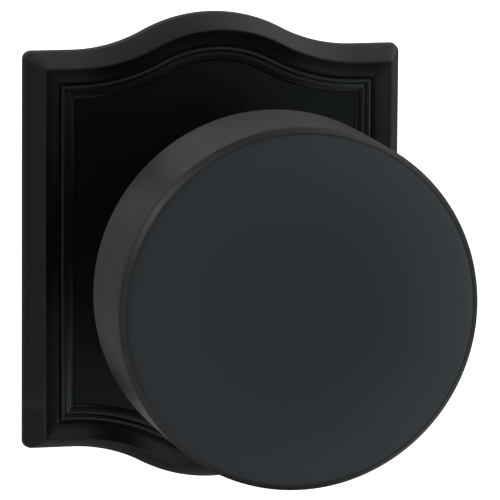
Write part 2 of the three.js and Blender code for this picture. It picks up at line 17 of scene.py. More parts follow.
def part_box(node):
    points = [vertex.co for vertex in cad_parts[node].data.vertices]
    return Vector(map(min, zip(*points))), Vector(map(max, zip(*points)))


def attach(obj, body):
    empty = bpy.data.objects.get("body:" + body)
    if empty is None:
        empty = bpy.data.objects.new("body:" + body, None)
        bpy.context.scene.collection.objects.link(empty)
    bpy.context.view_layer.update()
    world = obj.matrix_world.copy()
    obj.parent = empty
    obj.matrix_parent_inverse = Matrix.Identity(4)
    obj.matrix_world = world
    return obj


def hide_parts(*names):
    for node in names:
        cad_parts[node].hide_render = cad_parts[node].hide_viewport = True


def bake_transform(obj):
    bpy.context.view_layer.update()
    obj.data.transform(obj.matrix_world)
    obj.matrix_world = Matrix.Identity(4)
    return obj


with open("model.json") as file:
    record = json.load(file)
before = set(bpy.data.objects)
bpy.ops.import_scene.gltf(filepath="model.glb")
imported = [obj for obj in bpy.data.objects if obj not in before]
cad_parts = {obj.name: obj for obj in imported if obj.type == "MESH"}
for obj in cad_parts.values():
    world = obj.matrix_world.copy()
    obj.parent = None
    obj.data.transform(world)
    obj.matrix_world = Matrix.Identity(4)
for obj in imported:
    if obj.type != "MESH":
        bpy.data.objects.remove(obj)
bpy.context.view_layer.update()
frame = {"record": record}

MM = 0.001


def reach(node):
    """A round piece's radius, and the outs of its back and its front."""
    low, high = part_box(node)
    return high.x, -high.y, -low.y


BODY_OF = {node: body for body, nodes in frame["record"]["behaviour"]["bodies"].items() for node in nodes}
SLOT_OF = {part["node"]: part["material_slot"] for part in frame["record"]["subparts"]}

# ---- sizes ----

GAP = 0.3 * MM
BREAK = 0.15 * MM  # the small rounding on a machined or stamped edge
PAST = 1 * MM  # how far a cutting tool reaches past what it cuts

# Rosette
_, rosette_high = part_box("rosette")
HALF_WIDTH = rosette_high.x
HALF_HEIGHT = rosette_high.z
ARCH_RISE = 6.5 * MM
OGEE_RADIUS = 27.5 * MM
CORNER_RADIUS = 1.5 * MM
SHARP_RADIUS = 0.3 * MM
ARRIS_INSET = 2.95 * MM
ARRIS_OUT = 7.4 * MM
END_NARROWING = 0.4 * MM  # the mouldings are this much narrower along the arches than down the sides
BEAD_INSET = 6.65 * MM
BEAD_RADIUS = 0.58 * MM
COVE_OUT = 4.95 * MM
PANEL_INSET = 9.0 * MM
PANEL_OUT = 4.0 * MM
CEILING_OUT = 2.4 * MM
BORE_RADIUS = 13.7 * MM

# Knob
KNOB_RADIUS, _, KNOB_FRONT = reach("knob_face")
_, KNOB_BACK, _ = reach("knob_shell")
FACE_CROWN = 0.5 * MM
CHAMFER = 1.0 * MM
SEAM = 68.0 * MM
HAIRLINE = 0.05 * MM
SHEET = 1.6 * MM
NECK_HOLE = 10.3 * MM
SET_SCREW_OUT = 14 * MM
SET_SCREW_HOLE = 2.8 * MM

# Mounting plate, its screws and its posts
PLATE_INSET = 3.5 * MM
PLATE_CORNER = 2.0 * MM
_, PLATE_BACK, PLATE_FRONT = reach("mounting_plate")
PLATE_SCREWS = [f"plate_screw_{i + 1}" for i in range(4)]
RIVETS = [f"cage_rivet_{i + 1}" for i in range(4)]
POSTS = [f"mounting_post_{i + 1}" for i in range(2)]
SCREW_RADIUS = 1.5 * MM
STEM_RADIUS = 2.6 * MM
RIVET_RADIUS = 1.5 * MM

# Hub, cage and spring
HUB_RADIUS = 9 * MM
HUB_FLANGE_BACK = -3 * MM
LUG_HALF = 2.5 * MM
STOP_ANGLE = radians(61.5)  # the turn at which the lug meets the end of the cage's window
PIN_HOLE = 1.3 * MM
CAGE_RADIUS = 13 * MM
CAGE_WALL = 1.2 * MM
WIRE = 1.5 * MM
COIL_RADIUS = 11 * MM
COIL_TURNS = 3.25

KNOB_SIDES = 256
PIECE_SIDES = 96
SMALL_SIDES = 48


# ---- outlines ----

def rounded(corners, closed=False, finest=radians(12)):
    """Points through (a, b, rounding) corners, with each corner that has a rounding turned into an arc."""
    points = []
    last = len(corners) - 1
    for i, (a, b, radius) in enumerate(corners):
        here = Vector((a, b))
        if radius == 0 or (not closed and i in (0, last)):
            points.append(here)
            continue
        before = (Vector(corners[i - 1][:2]) - here).normalized()
        after = (Vector(corners[(i + 1) % len(corners)][:2]) - here).normalized()
        turn = pi - before.angle(after)
        tangent = radius * tan(turn / 2)
        centre = here + (before + after).normalized() * (radius / cos(turn / 2))
        first = here + before * tangent - centre
        swing = first.angle_signed(here + after * tangent - centre)
        steps = max(2, ceil(turn / finest))
        points += [centre + Matrix.Rotation(-swing * step / steps, 2) @ first for step in range(steps + 1)]
    return points


def arc(centre_x, centre_y, radius, start, end, steps):
    """Points along an arc between two angles in degrees, both ends included."""
    angles = np.radians(np.linspace(start, end, steps + 1))
    return [(centre_x + radius * cos(a), centre_y + radius * sin(a)) for a in angles]


def arch_outline(inset, corner):
    """The rosette's outline at an inset from its edge, round from the top crown by +X, as (x, z)."""
    arc_steps, flat_steps, corner_steps, side_steps = 28, 8, 6, 30
    between = 2 * OGEE_RADIUS
    sweep = degrees(acos((between - ARCH_RISE) / between))
    half_span = sqrt(between**2 - (between - ARCH_RISE) ** 2)
    shoulder = HALF_HEIGHT - ARCH_RISE
    crown = arc(0, HALF_HEIGHT - OGEE_RADIUS, OGEE_RADIUS - inset, 90, 90 - sweep, arc_steps)
    hollow = arc(half_span, shoulder + OGEE_RADIUS, OGEE_RADIUS + inset, 270 - sweep, 270, arc_steps)
    corner_x = HALF_WIDTH - inset - corner
    corner_z = shoulder - inset - corner
    flat = [(x, shoulder - inset) for x in np.linspace(half_span, corner_x, flat_steps + 1)[1:-1]]
    turn = arc(corner_x, corner_z, corner, 90, 0, corner_steps)
    side = [(HALF_WIDTH - inset, z) for z in np.linspace(corner_z, 0, side_steps + 1)[1:]]
    quarter = crown + hollow[1:] + flat + turn + side
    half = quarter + [(x, -z) for x, z in quarter[-2::-1]]
    return half + [(-x, z) for x, z in half[-2:0:-1]]


def level(inset, out, corner=None):
    """A ring of points along the rosette's outline at an inset and an out."""
    if corner is None:
        corner = max(CORNER_RADIUS - inset, SHARP_RADIUS)
    wider = END_NARROWING * min(inset / ARRIS_INSET, 1)
    return np.array([(x, -out, z + np.sign(z) * wider) for x, z in arch_outline(inset, corner)])


# ---- meshes ----

def add_object(name, data):
    obj = bpy.data.objects.new(name, data)
    bpy.context.scene.collection.objects.link(obj)
    return obj


def smooth(obj, sharp=radians(32)):
    """Merges doubled vertices, turns the faces outwards and shades them smooth but for sharp edges."""
    work = bmesh.new()
    work.from_mesh(obj.data)
    bmesh.ops.remove_doubles(work, verts=work.verts, dist=1e-7)
    bmesh.ops.recalc_face_normals(work, faces=work.faces)
    work.to_mesh(obj.data)
    work.free()
    obj.data.shade_smooth()
    obj.data.set_sharp_from_angle(angle=sharp)
    return obj


def loft(name, rings, loop=False):
    """A closed surface through rings with the same number of points: a tube joined end to end if loop
    is set, and otherwise closed by a face at each end."""
    rings = np.asarray(rings, float)
    levels, count = rings.shape[:2]
    near = np.arange(count)
    far = np.roll(near, -1)
    faces = []
    for row in range(levels if loop else levels - 1):
        low = row * count
        high = (row + 1) % levels * count
        faces += np.stack([low + near, low + far, high + far, high + near], axis=1).tolist()
    if not loop:
        faces += [near.tolist(), (near + (levels - 1) * count).tolist()]
    mesh = bpy.data.meshes.new(name)
    mesh.from_pydata(rings.reshape(-1, 3).tolist(), [], faces)
    return smooth(add_object(name, mesh))


def around(sides):
    return np.linspace(0, 2 * pi, sides, endpoint=False)


def ring(radius, out, angles, place=(0, 0)):
    """A ring of points about an axis that points out of the door at (x, z). The radius is one number,
    or one for each angle."""
    x = place[0] + radius * np.cos(angles)
    z = place[1] + radius * np.sin(angles)
    return np.stack([x, np.full(len(angles), -out), z], axis=1)


def margined(points, loop, margin=0.5 * MM):
    """Adds a point near each end of the long straight stretches, so that edge wear stays at the edges."""
    result = []
    for i, here in enumerate(points):
        result.append(here)
        if i == len(points) - 1 and not loop:
            break
        ahead = points[(i + 1) % len(points)]
        apart = (ahead - here).length
        if apart > 4 * margin:
            result += [here.lerp(ahead, margin / apart), ahead.lerp(here, margin / apart)]
    return result


def turned(name, corners, sides=PIECE_SIDES, loop=True, place=(0, 0)):
    """A piece turned from a profile, which is a loop round a hole or else starts and ends on the axis."""
    angles = around(sides)
    profile = margined(rounded(corners, loop), loop)
    return loft(name, [ring(radius, out, angles, place) for radius, out in profile], loop)


def divided(obj, step=2.5 * MM):
    """Cuts a broad flat piece's faces into a grid, so that edge wear stays at the edges."""
    work = bmesh.new()
    work.from_mesh(obj.data)
    for normal in (Vector((1, 0, 0)), Vector((0, 0, 1))):
        places = [vertex.co.dot(normal) for vertex in work.verts]
        for place in np.arange(min(places) + step / 2, max(places), step):
            everything = [*work.verts, *work.edges, *work.faces]
            bmesh.ops.bisect_plane(work, geom=everything, plane_co=place * normal, plane_no=normal)
    work.to_mesh(obj.data)
    work.free()
    return smooth(obj)


def tool(radius, back, front, place=(0, 0), flare=0, sides=SMALL_SIDES):
    """A rod that cuts a hole, flared at its front so that it also breaks the hole's edge there."""
    return turned("tool", [
        (0, back, 0),
        (radius, back, 0),
        (radius, front - 2 * flare, 0),
        (radius + 2 * flare, front, 0),
        (0, front, 0),
    ], sides, False, place)


def disc(radius, back, front, place):
    """A round ear on a pressed piece."""
    corners = [(0, back, 0), (radius, back, BREAK), (radius, front, BREAK), (0, front, 0)]
    return turned("ear", corners, SMALL_SIDES, False, place)


def block(x, out, z, bevel=0.0):
    """A box from its ranges in x, out and z, with its edges rounded."""
    corners = [(x[0], -out[1], z[0]), (x[1], -out[1], z[0]), (x[1], -out[0], z[0]), (x[0], -out[0], z[0])]
    box = loft("block", [corners, [(a, b, z[1]) for a, b, _ in corners]])
    if bevel:
        modifier = box.modifiers.new("bevel", "BEVEL")
        modifier.width = bevel
        modifier.segments = 3
        settle(box)
    return box


def sector(name, inner, outer, outs, start, end, steps=72, rounding=0.0):
    """A bar bent round the knob's axis between two angles. Its outer radius is a number, or a function
    of the share of the way along."""
    back, front = outs
    rings = []
    for share in np.linspace(0, 1, steps + 1):
        angle = start + (end - start) * share
        edge = outer(share) if callable(outer) else outer
        section = rounded([(inner, back, rounding), (edge, back, rounding), (edge, front, rounding),
                           (inner, front, rounding)], True, radians(30))
        rings.append([(radius * cos(angle), -out, radius * sin(angle)) for radius, out in section])
    return loft(name, rings)


def settle(obj):
    """Applies the object's modifiers."""
    shape = obj.evaluated_get(bpy.context.evaluated_depsgraph_get())
    obj.data = bpy.data.meshes.new_from_object(shape)
    obj.modifiers.clear()
    return smooth(obj)


def combine(obj, others, operation):
    for other in others:
        modifier = obj.modifiers.new("combine", "BOOLEAN")
        modifier.operation = operation
        modifier.solver = "EXACT"
        modifier.object = other
    settle(obj)
    for other in others:
        bpy.data.objects.remove(other)
    return obj


def cut(obj, tools):
    return combine(obj, tools, "DIFFERENCE")


def join(obj, others):
    return combine(obj, others, "UNION")


def square(half, angles, sharpness=18):
    """The radius of a square with rounded corners, at each angle."""
    powers = np.abs(np.cos(angles)) ** sharpness + np.abs(np.sin(angles)) ** sharpness
    return half / powers ** (1 / sharpness)


def hexagon(half, angles):
    return half / np.cos((angles + pi / 6) % (pi / 3) - pi / 6)


def cross(arm, half, angles):
    """The radius of a cross of four arms, at each angle."""
    across = half / np.maximum(np.abs(np.sin(angles)), 1e-6)
    along = half / np.maximum(np.abs(np.cos(angles)), 1e-6)
    return np.maximum(np.minimum(arm, across), np.minimum(arm, along))


def thread(radius, depth, pitch, start, end, angles, place=(0, 0)):
    """Rings along a screw thread: between its crests, which climb round the axis, the radius is less by
    the depth."""
    per_turn = 6
    steps = round(abs(end - start) / pitch * per_turn)
    rings = []
    for step in range(steps + 1):
        out = start + (end - start) * step / steps
        phase = (out / pitch - angles / (2 * pi)) % 1
        runout = min(1, step / per_turn, (steps - step) / per_turn)
        rings.append(ring(radius - depth * runout * np.abs(2 * phase - 1), out, angles, place))
    return rings


# ---- materials ----

def node_tree(name):
    material = bpy.data.materials.new(name)
    material.use_nodes = True
    nodes = material.node_tree.nodes
    return material, nodes, material.node_tree.links, nodes["Principled BSDF"]


def noise(nodes, links, coordinates, scale, detail=4.0):
    texture = nodes.new("ShaderNodeTexNoise")
    texture.inputs["Scale"].default_value = scale
    texture.inputs["Detail"].default_value = detail
    links.new(coordinates, texture.inputs["Vector"])
    return texture.outputs["Fac"]


def spread(nodes, links, value, low, high, start=0.3, end=0.7):
    """Maps a range of a value, such as the middle of a noise, to another range."""
    remap = nodes.new("ShaderNodeMapRange")
    remap.inputs["From Min"].default_value = start
    remap.inputs["From Max"].default_value = end
    remap.inputs["To Min"].default_value = low
    remap.inputs["To Max"].default_value = high
    links.new(value, remap.inputs["Value"])
    return remap.outputs["Result"]


def two_tone(nodes, links, factor, first, second):
    """Mixes two colours, or a colour into another node's colour."""
    mix = nodes.new("ShaderNodeMix")
    mix.data_type = "RGBA"
    for socket, colour in (("A", first), ("B", second)):
        if isinstance(colour, tuple):
            mix.inputs[socket].default_value = (*colour, 1)
        else:
            links.new(colour, mix.inputs[socket])
    links.new(factor, mix.inputs["Factor"])
    return mix.outputs["Result"]


def math_node(nodes, links, operation, *values):
    """The result of an operation on numbers and other nodes' values."""
    node = nodes.new("ShaderNodeMath")
    node.operation = operation
    for socket, value in zip(node.inputs, values):
        if isinstance(value, (int, float)):
            socket.default_value = value
        else:
            links.new(value, socket)
    return node.outputs["Value"]


def bump(nodes, links, heights, distance, strength):
    node = nodes.new("ShaderNodeBump")
    node.inputs["Distance"].default_value = distance
    node.inputs["Strength"].default_value = strength
    links.new(heights, node.inputs["Height"])
    return node.outputs["Normal"]


def finish(name, tones, edge, roughness, grain, metallic=1.0, cloud_scale=60):
    """A surface whose tone and roughness drift slowly, with a fine grain, and an edge colour where the
    surface turns sharply outwards. grain is its scale, depth in metres and strength."""
    material, nodes, links, shader = node_tree(name)
    coordinates = nodes.new("ShaderNodeTexCoord").outputs["Object"]
    cloud = noise(nodes, links, coordinates, cloud_scale, 5)
    tooth = noise(nodes, links, coordinates, grain[0], 3)
    body = two_tone(nodes, links, spread(nodes, links, cloud, 0, 1), *tones)
    pointy = nodes.new("ShaderNodeNewGeometry").outputs["Pointiness"]
    worn = spread(nodes, links, pointy, 0, 1, 0.53, 0.62)
    patchy = math_node(nodes, links, "MULTIPLY", worn, spread(nodes, links, cloud, 0.2, 1))
    links.new(two_tone(nodes, links, patchy, body, edge), shader.inputs["Base Color"])
    links.new(spread(nodes, links, cloud, *roughness), shader.inputs["Roughness"])
    links.new(bump(nodes, links, tooth, grain[1], grain[2]), shader.inputs["Normal"])
    shader.inputs["Metallic"].default_value = metallic
    return material


def painted_shade_and_sheen(nodes, links):
    """The coating's specular level, with painted light: lowered on the rosette's flat ground as painted
    shade, where the knob shades it, and raised towards the rim of the knob's face and over its chamfer as a
    painted sheen."""
    # The lower level on the flat ground is painted shade from the knob; the rise towards the knob's rim is a
    # painted sheen.
    usual, ground_painted_shade, rim_painted_sheen, sheen_start = 0.5, 0.17, 0.2, 14 * MM
    chamfer_back = KNOB_FRONT - FACE_CROWN - CHAMFER
    place = nodes.new("ShaderNodeSeparateXYZ")
    links.new(nodes.new("ShaderNodeTexCoord").outputs["Object"], place.inputs["Vector"])
    facing = nodes.new("ShaderNodeSeparateXYZ")
    links.new(nodes.new("ShaderNodeNewGeometry").outputs["Normal"], facing.inputs["Vector"])
    flat = math_node(nodes, links, "LESS_THAN", facing.outputs["Y"], -0.9)
    low = math_node(nodes, links, "COMPARE", place.outputs["Y"], -PANEL_OUT, 0.2 * MM)
    # Painted shade: the rosette's flat ground, where the knob shades it.
    ground = math_node(nodes, links, "MULTIPLY", flat, low)
    squares = [math_node(nodes, links, "POWER", place.outputs[axis], 2) for axis in "XZ"]
    radius = math_node(nodes, links, "SQRT", math_node(nodes, links, "ADD", *squares))
    front = math_node(nodes, links, "LESS_THAN", place.outputs["Y"], -chamfer_back)
    # Painted sheen: brighter from the middle of the knob's face out to its rim and over its chamfer.
    outward = spread(nodes, links, radius, 0, rim_painted_sheen, sheen_start, KNOB_RADIUS)
    painted_sheen = math_node(nodes, links, "MULTIPLY", front, outward)
    with_painted_shade = math_node(nodes, links, "MULTIPLY_ADD", ground, ground_painted_shade - usual, usual)
    return math_node(nodes, links, "ADD", with_painted_shade, painted_sheen)


def black_finish():
    """A satin black coating: nearly even, with a very fine tooth, with painted shade on the rosette's ground
    and a painted sheen at the rim of the knob's face.
    """
    material = finish("black_finish", [(0.0014, 0.0014, 0.0014), (0.0022, 0.0022, 0.0022)],
                      (0.007, 0.007, 0.007), (0.34, 0.40), (2600, 0.02 * MM, 0.2), metallic=0)
    nodes, links = material.node_tree.nodes, material.node_tree.links
    shader = nodes["Principled BSDF"]
    shader.inputs["IOR"].default_value = 1.38
    # The specular level carries painted shade on the rosette's ground and a painted sheen at the knob's rim.
    links.new(painted_shade_and_sheen(nodes, links), shader.inputs["Specular IOR Level"])
    return material


def nylon():
    material = finish("nylon", [(0.010, 0.010, 0.011), (0.018, 0.018, 0.018)],
                      (0.03, 0.03, 0.03), (0.42, 0.58), (900, 0.05 * MM, 0.3), metallic=0)
    material.node_tree.nodes["Principled BSDF"].inputs["IOR"].default_value = 1.53
    return material


FINISHES = {
    "black_finish": black_finish(),
    "zinc_plate": finish("zinc_plate", [(0.76, 0.77, 0.78), (0.84, 0.84, 0.83)], (0.85, 0.85, 0.83),
                         (0.36, 0.45), (700, 0.03 * MM, 0.2), cloud_scale=90),
    "zinc_casting": finish("zinc_casting", [(0.36, 0.37, 0.38), (0.43, 0.43, 0.43)], (0.60, 0.60, 0.59),
                           (0.44, 0.56), (1100, 0.06 * MM, 0.4), cloud_scale=160),
    "spring_steel": finish("spring_steel", [(0.16, 0.16, 0.17), (0.25, 0.25, 0.25)], (0.45, 0.45, 0.44),
                           (0.24, 0.38), (800, 0.03 * MM, 0.25), cloud_scale=260),
    "nylon": nylon(),
}


# ---- putting pieces in the frame ----

def dress(obj, *nodes):
    """obj takes the place and the finish of these CAD nodes."""
    slot = SLOT_OF[nodes[0]]
    obj.data.materials.clear()
    obj.data.materials.append(FINISHES[slot])
    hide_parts(*nodes)
    return obj


def stand_for(obj, *nodes):
    """obj takes the place, the finish and the body of these CAD nodes."""
    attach(obj, BODY_OF[nodes[0]])
    return dress(obj, *nodes)


def middle(node):
    """Where a node is, seen along the knob's axis, as (x, z)."""
    low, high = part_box(node)
    return (low.x + high.x) / 2, (low.z + high.z) / 2


def bounds_of(node):
    """The middle (x, z), radius, back and front of a round piece beside the knob's axis."""
    low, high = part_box(node)
    return middle(node), (high.x - low.x) / 2, -high.y, -low.y


# ---- knob ----

def knob_cap():
    """The flat front of the knob: a faintly crowned disc with a chamfered rim and a spigot behind."""
    rim = KNOB_RADIUS - CHAMFER
    edge = KNOB_FRONT - FACE_CROWN
    spigot = KNOB_RADIUS - SHEET - HAIRLINE
    inside = edge - SHEET
    steps = 16
    crown = [(rim * k / steps, KNOB_FRONT - FACE_CROWN * (k / steps) ** 4, 0) for k in range(steps)]
    return turned("knob_face_fine", [
        *crown,
        (rim, edge, 0.9 * MM),
        (KNOB_RADIUS, edge - CHAMFER, 0.35 * MM),
        (KNOB_RADIUS, SEAM + HAIRLINE, 0.06 * MM),
        (spigot, SEAM + HAIRLINE, 0),
        (spigot, SEAM - 4 * MM, 0.3 * MM),
        (spigot - SHEET, SEAM - 4 * MM, 0.3 * MM),
        (spigot - SHEET, inside, 0.8 * MM),
        (0, inside, 0),
    ], KNOB_SIDES, loop=False)


def knob_cup():
    """The side and back of the knob."""
    floor = KNOB_BACK + SHEET
    return turned("knob_shell_fine", [
        (NECK_HOLE, KNOB_BACK, 0.2 * MM),
        (KNOB_RADIUS, KNOB_BACK, 1.4 * MM),
        (KNOB_RADIUS, SEAM, 0.06 * MM),
        (KNOB_RADIUS - SHEET, SEAM, 0.2 * MM),
        (KNOB_RADIUS - SHEET, floor, 0.8 * MM),
        (NECK_HOLE, floor, 0.2 * MM),
    ], KNOB_SIDES)


def cove(from_radius, from_out, to_radius, to_out, steps=20):
    """Corners along half a cosine wave from one radius to another."""
    shares = np.linspace(0, 1, steps + 1)
    eases = (1 - np.cos(pi * shares)) / 2
    return [(from_radius + (to_radius - from_radius) * ease, from_out + (to_out - from_out) * share, 0)
            for ease, share in zip(eases, shares)]


def below_axis(obj):
    """Turns a piece made along the knob's axis so that it points down from it, at the set screw."""
    obj.data.transform(Matrix.Translation((0, -SET_SCREW_OUT, 0)) @ Matrix.Rotation(pi / 2, 4, "X"))
    return obj


def across_hub(obj):
    """Turns a piece made along the knob's axis so that it lies across the hub, at the spindle's pin."""
    low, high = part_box("spindle_pin")
    obj.data.transform(Matrix.Translation((0, (low.y + high.y) / 2, 0)) @ Matrix.Rotation(pi / 2, 4, "Z"))
    return obj


def neck():
    """The turned neck: a journal, a collar, and a cove that flares out to the back of the knob."""
    flare, tail, lip = reach("knob_neck")
    bore, journal, collar, waist = 9.3 * MM, 12 * MM, 14.6 * MM, 11.6 * MM
    collar_back, collar_front, waist_out, flare_out = 5.5 * MM, 8 * MM, 22 * MM, 44.2 * MM
    stub, lip_radius, bored_to, lightening = 10 * MM, 12.5 * MM, 26.3 * MM, 6 * MM
    seat = KNOB_BACK - 0.1 * MM
    step = KNOB_BACK + SHEET + 0.1 * MM
    body = turned("knob_neck_fine", [
        (bore, tail, BREAK),
        (journal, tail, 0.3 * MM),
        (journal, collar_back, 0.1 * MM),
        (collar, collar_back, 0.6 * MM),
        (collar, collar_front, 0.6 * MM),
        *cove(journal + 1 * MM, collar_front, waist, waist_out),
        *cove(waist, waist_out, flare, flare_out)[1:],
        (flare, seat, 0.25 * MM),
        (stub, seat, 0.1 * MM),
        (stub, step, 0.1 * MM),
        (lip_radius, step, BREAK),
        (lip_radius - 1 * MM, lip, 0.3 * MM),
        (lightening, lip, 0.3 * MM),
        (lightening, bored_to, 0.1 * MM),
        (bore, bored_to, 0.1 * MM),
    ], 128)
    return cut(body, [below_axis(tool(SET_SCREW_HOLE, 5 * MM, 17 * MM))])


def set_screw():
    """A socket set screw: threaded, with a cup end and a hexagonal socket."""
    low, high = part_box("neck_set_screw")
    radius, tip, end = high.x, -high.z, -low.z
    across, deep, chamfer = 1.25 * MM, 1.5 * MM, 0.35 * MM
    angles = around(72)
    rings = [
        ring(0, tip + 0.3 * MM, angles),
        ring(radius - 1.1 * MM, tip, angles),
        *thread(radius, 0.35 * MM, 0.8 * MM, tip + chamfer, end - chamfer, angles),
        ring(radius - chamfer, end, angles),
        ring(hexagon(across + 0.15 * MM, angles), end, angles),
        ring(hexagon(across, angles), end - 0.15 * MM, angles),
        ring(hexagon(across, angles), end - deep, angles),
        ring(0, end - deep - 0.4 * MM, angles),
    ]
    return below_axis(loft("neck_set_screw_fine", rings))


# ---- rosette ----

def moulding():
    """The rosette's front, from its back edge to the panel: a steep side, a sloping band, a sharp arris,
    a cove, a bead, and an ovolo that falls to the panel."""
    foot = BEAD_INSET - BEAD_RADIUS
    cove_steps, ovolo_steps = 8, 7
    hollow = []
    for share in np.linspace(0, 1, cove_steps + 1)[1:]:
        drop = 1 - (1 - share) ** 1.35
        inset = ARRIS_INSET + (foot - ARRIS_INSET) * share
        hollow.append((inset, ARRIS_OUT + (COVE_OUT - ARRIS_OUT) * drop, 0))
    bead = arc(BEAD_INSET, COVE_OUT, BEAD_RADIUS, 180, 8, 9)[1:]
    start = BEAD_INSET + BEAD_RADIUS + 0.08 * MM
    fall = COVE_OUT - 0.12 * MM - PANEL_OUT
    ovolo = []
    for angle in np.radians(np.linspace(0, 90, ovolo_steps + 1)):
        ovolo.append((start + (PANEL_INSET - start) * sin(angle), PANEL_OUT + fall * cos(angle), 0))
    return [
        (0.0, 0.0, 0),
        (0.22 * MM, 1.7 * MM, 1.0 * MM),
        (ARRIS_INSET, ARRIS_OUT, 0.28 * MM),
        *hollow,
        *[(inset, out, 0) for inset, out in bead],
        *ovolo,
        (PANEL_INSET + 0.5 * MM, PANEL_OUT, 0),
    ]


def rosette_plate():
    """The arched plate: its moulded front, the hollow behind, four screw bosses and the bore."""
    front = [level(inset, out) for inset, out in rounded(moulding())][::-1]
    hollow = [(2.1 * MM, 0.0), (2.2 * MM, 0.2 * MM), (4.3 * MM, 4.9 * MM), (7.6 * MM, CEILING_OUT)]
    body = loft("rosette_fine", front + [level(inset, out) for inset, out in hollow])
    places = [middle(node) for node in PLATE_SCREWS]
    tip = bounds_of(PLATE_SCREWS[0])[3] + GAP
    boss_radius, boss_front = 3.3 * MM, 4.1 * MM
    bosses = [tool(boss_radius, PLATE_FRONT + GAP, boss_front, place) for place in places]
    holes = [tool(SCREW_RADIUS + GAP, 0, tip, place) for place in places]
    bore = tool(BORE_RADIUS, 0, PANEL_OUT + 2 * BREAK, flare=BREAK, sides=KNOB_SIDES)
    return cut(join(body, bosses), [bore, *holes])


# ---- mounting plate, screws and posts ----

def screw_profile(grow, back, front):
    """Half the outline of a countersunk screw's head and shank."""
    _, head, seat, _ = bounds_of(PLATE_SCREWS[0])
    slope = head - SCREW_RADIUS
    return [(0, back, 0), (head + grow, back, 0), (head + grow, PLATE_BACK, 0),
            (SCREW_RADIUS + grow, PLATE_BACK + slope, 0), (SCREW_RADIUS + grow, front, 0), (0, front, 0)]


def back_plate():
    """The stamped plate that carries the posts and the cage."""
    soft = 0.25 * MM
    rings = [(PLATE_INSET + soft, PLATE_BACK), (PLATE_INSET + 0.07 * MM, PLATE_BACK + 0.07 * MM),
             (PLATE_INSET, PLATE_BACK + soft), (PLATE_INSET, PLATE_FRONT - BREAK),
             (PLATE_INSET + BREAK, PLATE_FRONT)]
    body = loft("mounting_plate_fine", [level(inset, out, PLATE_CORNER) for inset, out in rings])
    below, above = PLATE_BACK - PAST, PLATE_FRONT + PAST
    centre = tool(HUB_RADIUS + GAP, below, above, sides=PIECE_SIDES)
    stems = [tool(STEM_RADIUS + GAP, below, above, middle(node)) for node in POSTS]
    rivets = [tool(RIVET_RADIUS + GAP, below, above, middle(node)) for node in RIVETS]
    screws = [turned("tool", screw_profile(GAP, below, above), SMALL_SIDES, False, middle(node))
              for node in PLATE_SCREWS]
    return divided(cut(body, [centre, *stems, *rivets, *screws]))


def plate_screw(node):
    """A countersunk screw with a cross recess in the head, which faces the door."""
    place, head, back, tip = bounds_of(node)
    arm, half, deep = 0.62 * head, 0.36 * MM, 1.1 * MM
    inner = degrees(asin(half / arm))
    marks = [quarter + turn for quarter in (0, 90, 180, 270) for turn in (0, inner, 45, 90 - inner)]
    angles = np.radians(sorted({*range(0, 360, 6), *marks}))
    cone_end = back + head - SCREW_RADIUS
    rings = [
        ring(0, back + deep, angles, place),
        ring(cross(0.35 * arm, 0.7 * half, angles), back + deep - 0.15 * MM, angles, place),
        ring(cross(arm - BREAK, half, angles), back + BREAK, angles, place),
        ring(cross(arm, half + 0.4 * BREAK, angles), back, angles, place),
        ring(head - BREAK, back, angles, place),
        ring(head, back + 0.5 * BREAK, angles, place),
        ring(head, back + 1.5 * BREAK, angles, place),
        ring(SCREW_RADIUS, cone_end, angles, place),
        *thread(SCREW_RADIUS, 0.2 * MM, 0.5 * MM, cone_end + 0.05 * MM, tip - 0.3 * MM, angles, place),
        ring(SCREW_RADIUS - 0.3 * MM, tip, angles, place),
        ring(0, tip, angles, place),
    ]
    return loft(f"{node}_fine", rings)


def post(node):
    """A round post staked in the plate, tapped from its end for the latch's through bolt."""
    place, radius, end, front = bounds_of(node)
    shoulder, bottom, bore = PLATE_BACK - 0.1 * MM, -4 * MM, 1.85 * MM
    chamfer, fillet = 0.5 * MM, 0.2 * MM
    angles = around(SMALL_SIDES)
    rings = [
        ring(0, front, angles, place),
        ring(STEM_RADIUS - fillet, front, angles, place),
        ring(STEM_RADIUS, front - fillet, angles, place),
        ring(STEM_RADIUS, shoulder, angles, place),
        ring(radius - fillet, shoulder, angles, place),
        ring(radius, shoulder - fillet, angles, place),
        ring(radius, end + chamfer, angles, place),
        ring(radius - chamfer, end, angles, place),
        ring(bore + 0.45 * MM, end, angles, place),
        *thread(bore, 0.25 * MM, 0.7 * MM, end + 0.45 * MM, bottom, angles, place),
        ring(0, bottom + 0.9 * MM, angles, place),
    ]
    return loft(f"{node}_fine", rings)


# ---- bush, hub and spindle ----

def neck_bush():
    """The flanged nylon bush that the neck turns in."""
    flange, back, front = reach("neck_bush")
    inner, outer, under = 12.3 * MM, 13.4 * MM, PANEL_OUT + 0.1 * MM
    return turned("neck_bush_fine", [
        (inner, back, 0.3 * MM),
        (outer, back, 0.2 * MM),
        (outer, under, 0.05 * MM),
        (flange, under, 0.1 * MM),
        (flange, front, 0.35 * MM),
        (inner, front, 0.25 * MM),
    ], 128)


